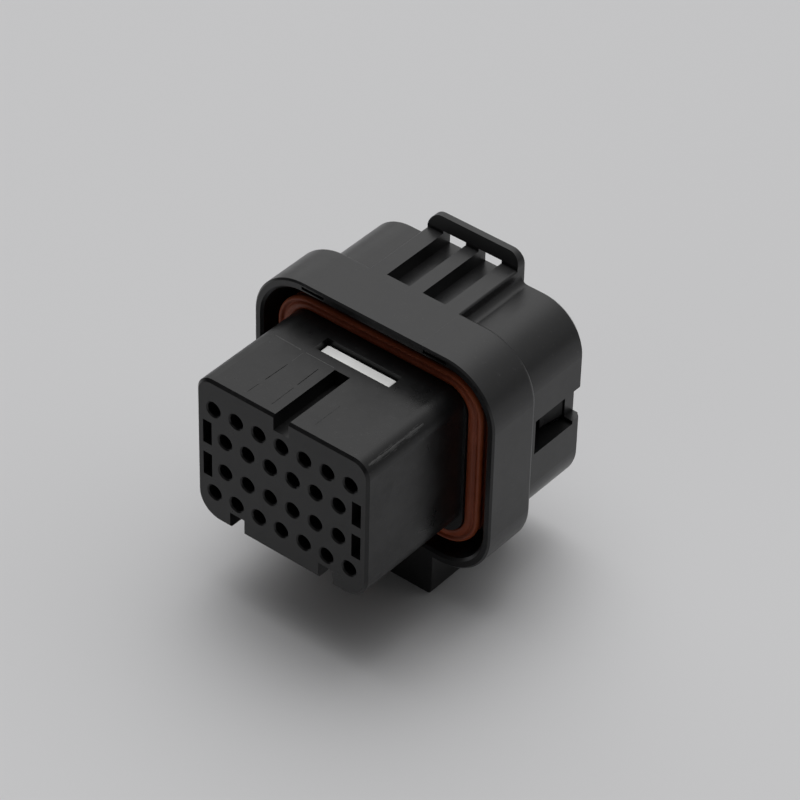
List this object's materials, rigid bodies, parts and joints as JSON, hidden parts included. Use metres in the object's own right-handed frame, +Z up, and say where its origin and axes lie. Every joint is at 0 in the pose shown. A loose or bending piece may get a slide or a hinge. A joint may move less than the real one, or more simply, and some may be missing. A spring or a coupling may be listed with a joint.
{
  "type": "sealed multi-way wire connector",
  "caption": "Black sealed wire connector: staggered pin holes in its nose, seal ring inside a collar, white secondary lock, latch rails on top and a clip foot below.",
  "frame": {"origin": "middle of the contact field, on the mating face at the front of the nose", "axes": "+X across the rows to the right as seen from the mating side, +Y from the mating face back to the wires, +Z up"},
  "size_m": [0.0318, 0.0315, 0.0338],
  "materials": {
    "black_plastic": "satin, moulded glass-filled plastic",
    "white_plastic": "satin, moulded plastic",
    "seal_rubber": "matt silicone, red-brown"
  },
  "bodies": {
    "connector": {"housing": "black_plastic", "front_cap": "black_plastic", "interface_seal": "seal_rubber", "wire_seal": "seal_rubber", "rear_cover": "black_plastic"},
    "lock": {"secondary_lock": "white_plastic"}
  },
  "joints": [
    {"name": "lock_slide", "type": "slide", "parent": "connector", "child": "lock", "axis": [0, 0, 1], "range_m": [0, 0.0008]}
  ]
}
